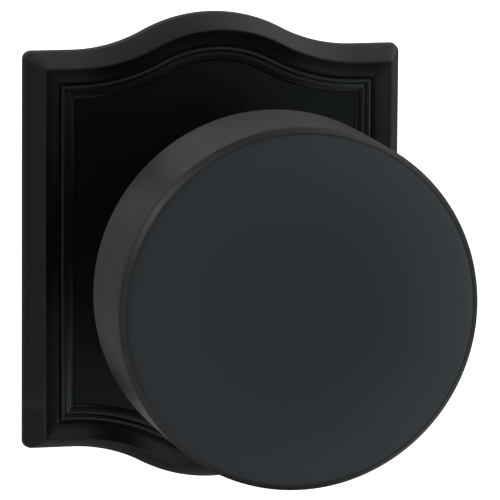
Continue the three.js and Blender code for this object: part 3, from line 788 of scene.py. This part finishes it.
def hub():
    """The cast hub: it takes the spindle, drives the neck, and carries the stop lug on its flange."""
    _, end, front = reach("drive_hub")
    _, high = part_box("drive_hub")
    flange, lug_top = 12.4 * MM, high.z
    flange_front, lug_front = -0.2 * MM, -1.6 * MM
    groove, groove_front, groove_back = 8.2 * MM, -12.4 * MM, -13.6 * MM
    body = turned("drive_hub_fine", [
        (0, front, 0),
        (HUB_RADIUS, front, 0.6 * MM),
        (HUB_RADIUS, flange_front, 0.3 * MM),
        (flange, flange_front, 0.3 * MM),
        (flange, HUB_FLANGE_BACK, 0.3 * MM),
        (HUB_RADIUS, HUB_FLANGE_BACK, 0.4 * MM),
        (HUB_RADIUS, groove_front, 0.08 * MM),
        (groove, groove_front, 0.08 * MM),
        (groove, groove_back, 0.08 * MM),
        (HUB_RADIUS, groove_back, 0.08 * MM),
        (HUB_RADIUS, end, 0.3 * MM),
        (0, end, 0),
    ], PIECE_SIDES, loop=False)
    lug = block((-LUG_HALF, LUG_HALF), (HUB_FLANGE_BACK, lug_front), (HUB_RADIUS + 1 * MM, lug_top), 0.3 * MM)
    half, flare = 4.12 * MM, 0.4 * MM
    angles = around(144)
    levels = [(flare + PAST, end - PAST), (0, end + flare), (0, front - flare), (flare + PAST, front + PAST)]
    socket = loft("tool", [ring(square(half + grow, angles, 40), out, angles) for grow, out in levels])
    leg = tool(WIRE / 2 + 2 * GAP, HUB_FLANGE_BACK - PAST, 0.5 * MM, (-COIL_RADIUS, 0))
    pin = across_hub(tool(PIN_HOLE, -12 * MM, 12 * MM))
    screw = below_axis(tool(SET_SCREW_HOLE, 8.2 * MM, 12 * MM))
    return cut(join(body, [lug]), [socket, leg, pin, screw])


def spindle_pin():
    """The plain pin that holds the spindle in the hub."""
    low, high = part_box("spindle_pin")
    radius = (high.z - low.z) / 2
    return across_hub(turned("spindle_pin_fine", [
        (0, low.x, 0),
        (radius, low.x, 0.3 * MM),
        (radius, high.x, 0.3 * MM),
        (0, high.x, 0),
    ], SMALL_SIDES, loop=False))


def spindle():
    """The square bar, with rounded long edges and chamfered ends."""
    half, end, front = reach("spindle")
    chamfer, soft, margin = 0.8 * MM, 0.12 * MM, 0.6 * MM
    angles = around(144)
    tip = [(half - chamfer - soft, 0), (half - chamfer, 0.4 * soft), (half - soft, chamfer - soft),
           (half, chamfer + soft), (half, chamfer + margin)]
    levels = [(reach_to, end + depth) for reach_to, depth in tip]
    levels += [(reach_to, front - depth) for reach_to, depth in reversed(tip)]
    body = loft("spindle_fine", [ring(square(reach_to, angles), out, angles) for reach_to, out in levels])
    return cut(body, [across_hub(tool(PIN_HOLE, -6 * MM, 6 * MM))])


# ---- spring cassette ----

def cage():
    """The drawn cup that holds the spring, with four ears, a window for the lug and a slot for the leg."""
    _, floor_back, mouth = reach("spring_cage")
    floor = floor_back + CAGE_WALL
    outer, flange, lip = CAGE_RADIUS + CAGE_WALL, 15.2 * MM, HUB_RADIUS + GAP
    under = mouth - CAGE_WALL
    body = turned("spring_cage_fine", [
        (CAGE_RADIUS, mouth, 0.3 * MM),
        (CAGE_RADIUS, floor, 0.5 * MM),
        (lip, floor, 0.1 * MM),
        (lip, floor_back, BREAK),
        (outer, floor_back, 1.1 * MM),
        (outer, under, 0.45 * MM),
        (flange, under, BREAK),
        (flange, mouth, BREAK),
    ], PIECE_SIDES)
    places = [middle(node) for node in RIVETS]
    ears = [disc(4.2 * MM, under, mouth, place) for place in places]
    half_window = STOP_ANGLE + asin(LUG_HALF / CAGE_RADIUS)
    window = sector("tool", CAGE_RADIUS - PAST, outer + 0.6 * MM, (-3.4 * MM, -1.4 * MM),
                    pi / 2 - half_window, pi / 2 + half_window)
    slot_half, slot_height, through = 2.5 * MM, 2.05 * MM, 3 * MM
    slot = block((-slot_half, slot_half), (floor, floor + slot_height),
                 (-CAGE_RADIUS - through, -CAGE_RADIUS + through))
    holes = [tool(RIVET_RADIUS + GAP, under - PAST, mouth + PAST, place) for place in places]
    return cut(join(body, ears), [window, slot, *holes])


def rivet(node):
    """A round-headed rivet, set over at its front end."""
    place, head, top, front = bounds_of(node)
    seat = top + 1.2 * MM
    dome = [(head * sin(angle), seat - (seat - top) * cos(angle), 0) for angle in np.linspace(0, pi / 2, 9)]
    return turned(f"{node}_fine", [
        *dome,
        (head, seat + 0.08 * MM, 0.03 * MM),
        (RIVET_RADIUS, seat + 0.08 * MM, 0.05 * MM),
        (RIVET_RADIUS, front, 0.2 * MM),
        (0, front, 0),
    ], SMALL_SIDES, False, place)


def spring_path():
    """The middle of the wire: a leg through the hub's flange, the coil, and a leg through the cage."""
    _, floor_back, _ = reach("spring_cage")
    first = HUB_FLANGE_BACK - 0.25 * MM - WIRE / 2
    last = floor_back + CAGE_WALL + 0.25 * MM + WIRE / 2
    leg = 1.6 * MM
    steps = round(COIL_TURNS * 48)
    bend = 4  # the steps at each end of the coil that the bend into its leg takes up
    coil = []
    for step in range(bend, steps - bend + 1):
        share = step / steps
        angle = pi + 2 * pi * COIL_TURNS * share
        coil.append((COIL_RADIUS * cos(angle), -(first + (last - first) * share), COIL_RADIUS * sin(angle)))
    hook = -COIL_RADIUS
    tip = CAGE_RADIUS + CAGE_WALL + leg
    points = [
        (hook, -(HUB_FLANGE_BACK + leg), 0),
        (hook, -HUB_FLANGE_BACK + WIRE / 4, 0),
        *coil,
        (0, -last, 1.06 * hook),
        (0, -last, -tip),
    ]
    path = np.array(points)
    for _ in range(3):
        near = 0.75 * path[:-1] + 0.25 * path[1:]
        far = 0.25 * path[:-1] + 0.75 * path[1:]
        between = np.stack([near, far], axis=1).reshape(-1, 3)
        path = np.concatenate([path[:1], between, path[-1:]])
    apart = np.linalg.norm(np.diff(path, axis=0), axis=1)
    along = np.concatenate([[0], np.cumsum(apart)])
    places = np.linspace(0, along[-1], 420)
    return np.stack([np.interp(places, along, path[:, axis]) for axis in range(3)], axis=1)


def swept(name, path, radius, sides=16):
    """A wire along a path, with rounded ends. Each ring is turned as little as possible from the last."""
    ahead = np.gradient(path, axis=0)
    ahead /= np.linalg.norm(ahead, axis=1, keepdims=True)
    side = np.cross(ahead[0], (1, 0, 0))
    angles = around(sides)
    rings = []
    for place, forward in zip(path, ahead):
        side = side - forward * np.dot(side, forward)
        side /= np.linalg.norm(side)
        other = np.cross(forward, side)
        rings.append(place + radius * (np.outer(np.cos(angles), side) + np.outer(np.sin(angles), other)))
    first, last = rings[0], rings[-1]
    soft = 0.2 * radius
    start = path[0] + (first - path[0]) * 0.8
    end = path[-1] + (last - path[-1]) * 0.8
    rings[0] = first + ahead[0] * soft
    rings[-1] = last - ahead[-1] * soft
    return loft(name, [start, *rings, end])


def wave_washer():
    """A thin ring bent into three waves."""
    low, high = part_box("wave_washer")
    wave, waves = 0.25 * MM, 3
    back, front = -high.y + wave, -low.y - wave
    inner, outer = HUB_RADIUS + GAP, high.x
    obj = turned("wave_washer_fine", [
        (inner, back, 0.08 * MM),
        (outer, back, 0.08 * MM),
        (outer, front, 0.08 * MM),
        (inner, front, 0.08 * MM),
    ], 144)
    for vertex in obj.data.vertices:
        turn = Vector((vertex.co.x, vertex.co.z)).angle_signed(Vector((1, 0)))
        vertex.co.y += wave * cos(waves * turn)
    return smooth(obj)


def retaining_ring():
    """An open ring that is widest opposite its gap, with a holed ear on each side of the gap."""
    bore, width, ear, hole = 8.5 * MM, 2.5 * MM, 1.7 * MM, 0.7 * MM
    _, back, front = reach("retaining_ring")
    half_gap = radians(25)
    start, end = -pi / 2 + half_gap, 3 * pi / 2 - half_gap
    body = sector("retaining_ring_fine", bore, lambda share: bore + width * (0.66 + 0.34 * sin(pi * share)),
                  (back, front), start, end, 120, BREAK)
    places = [((bore + ear) * cos(angle), (bore + ear) * sin(angle)) for angle in (start, end)]
    ears = [disc(ear, back, front, place) for place in places]
    holes = [tool(hole, back - PAST, front + PAST, place, sides=24) for place in places]
    return cut(join(body, ears), holes)


PIECES = {
    "knob_face": knob_cap,
    "knob_shell": knob_cup,
    "knob_neck": neck,
    "neck_set_screw": set_screw,
    "drive_hub": hub,
    "spindle": spindle,
    "spindle_pin": spindle_pin,
    "retaining_ring": retaining_ring,
    "rosette": rosette_plate,
    "neck_bush": neck_bush,
    "mounting_plate": back_plate,
    "spring_cage": cage,
    "wave_washer": wave_washer,
}
for name, make in PIECES.items():
    stand_for(make(), name)
for name in PLATE_SCREWS:
    stand_for(plate_screw(name), name)
for name in RIVETS:
    stand_for(rivet(name), name)
for name in POSTS:
    stand_for(post(name), name)

coil_spring = dress(swept("return_spring_fine", spring_path(), WIRE / 2), "return_spring")
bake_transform(coil_spring)


# ---- camera, light and floor ----

# The light round the object, as soft lobes: direction, tint, brightness, and how narrow it is
WHITE = (1.0, 1.0, 1.0)
COOL = (0.86, 1.0, 1.06)
SKY = (0.62, 1.0, 1.2)
STUDIO = [
    ((0.22, -0.97, -0.17), SKY, 0.84, 50),  # mirrored in the middle of the knob's face
    ((0.62, -0.77, -0.15), COOL, 2.4, 60),  # front right
    ((0.4, -0.88, 0.22), COOL, 1.0, 60),  # front, above
    ((0, -0.7, -0.7), WHITE, 0.8, 12),  # front, below
    ((-0.6, -0.6, 0.6), WHITE, 1.25, 12),  # front left, above
    ((-0.96, -0.22, -0.16), WHITE, 0.5, 16),  # left
    ((-0.79, -0.27, 0.54), WHITE, 4.4, 200),  # a small lamp, for the highlight on the knob's chamfer
    ((0.2, -0.2, 0.96), WHITE, 0.35, 16),  # above
    ((0.7, 0, 0.7), WHITE, 1.1, 12),  # right, above
    ((0.96, 0.2, -0.16), WHITE, 0.25, 25),  # right
    ((0.7, 0.25, -0.65), WHITE, 0.8, 25),  # right, below
    ((-0.6, -0.1, -0.76), WHITE, 0.6, 16),  # left, below
    ((0.6, 0.6, 0.6), WHITE, 0.4, 12),  # back right, above
    ((-0.6, 0.6, 0.6), WHITE, 0.54, 12),  # back left, above
    ((-0.6, 0.6, -0.6), WHITE, 0.08, 12),  # back left, below
    ((0, 1, 0), WHITE, 0.08, 12),  # back
    ((-0.1, 0.95, 0.3), WHITE, 0.28, 60),  # back, mirrored in the upper left of the knob's side
    ((0.08, 0.96, -0.26), WHITE, 0.5, 60),  # back, mirrored in the lower left of it
]


def add_camera():
    """The camera of the product picture: a long lens a metre away, from the left and a little above."""
    place = (-0.2227, -0.9680, 0.1656)
    yaw, pitch, roll = radians(13.38), radians(-9.52), radians(0.44)
    ahead = Vector((sin(yaw) * cos(pitch), cos(yaw) * cos(pitch), sin(pitch)))
    level_right = Vector((cos(yaw), -sin(yaw), 0))
    level_up = level_right.cross(ahead)
    right = cos(roll) * level_right + sin(roll) * level_up
    up = cos(roll) * level_up - sin(roll) * level_right
    camera = bpy.data.cameras.new("camera")
    camera.sensor_width = 36.0
    camera.lens = 396.8
    camera.clip_end = 50
    obj = add_object("camera", camera)
    turn = Matrix((right, up, -ahead)).transposed().to_4x4()
    obj.matrix_world = Matrix.Translation(place) @ turn
    bpy.context.scene.camera = obj


def add_studio():
    """A white room for the eye, whose light reaches the object as a few wide soft lobes."""
    world = bpy.data.worlds.new("studio")
    world.use_nodes = True
    nodes, links = world.node_tree.nodes, world.node_tree.links
    ahead = nodes.new("ShaderNodeTexCoord").outputs["Generated"]
    total = None
    for direction, tint, brightness, narrow in STUDIO:
        facing = nodes.new("ShaderNodeVectorMath")
        facing.operation = "DOT_PRODUCT"
        links.new(ahead, facing.inputs[0])
        facing.inputs[1].default_value = Vector(direction).normalized()
        share = math_node(nodes, links, "MULTIPLY_ADD", facing.outputs["Value"], 0.5, 0.5)
        lobe = nodes.new("ShaderNodeVectorMath")
        lobe.operation = "MULTIPLY_ADD"
        links.new(math_node(nodes, links, "POWER", share, narrow), lobe.inputs[0])
        lobe.inputs[1].default_value = brightness * Vector(tint)
        if total is not None:
            links.new(total, lobe.inputs[2])
        total = lobe.outputs["Vector"]
    seen = nodes.new("ShaderNodeLightPath").outputs["Is Camera Ray"]
    links.new(two_tone(nodes, links, seen, total, (1.0, 1.0, 1.0)), nodes["Background"].inputs["Color"])
    bpy.context.scene.world = world


def add_floor():
    """A plain pale floor, lit as brightly as the room."""
    mesh = bpy.data.meshes.new("floor")
    side, depth = 12.0, -1.0
    mesh.from_pydata([(-side, -side, depth), (side, -side, depth), (side, side, depth), (-side, side, depth)],
                     [], [(0, 1, 2, 3)])
    floor = add_object("floor", mesh)
    material, nodes, links, shader = node_tree("pale_floor")
    coordinates = nodes.new("ShaderNodeTexCoord").outputs["Object"]
    shade = spread(nodes, links, noise(nodes, links, coordinates, 3, 2), 0, 1)
    links.new(two_tone(nodes, links, shade, (0.88, 0.88, 0.88), (0.9, 0.9, 0.9)), shader.inputs["Base Color"])
    shader.inputs["Roughness"].default_value = 0.8
    shader.inputs["Emission Color"].default_value = (1, 1, 1, 1)
    shader.inputs["Emission Strength"].default_value = 0.8
    mesh.materials.append(material)
    floor.visible_glossy = False


add_camera()
add_studio()
add_floor()
bpy.context.scene.view_settings.view_transform = "Standard"
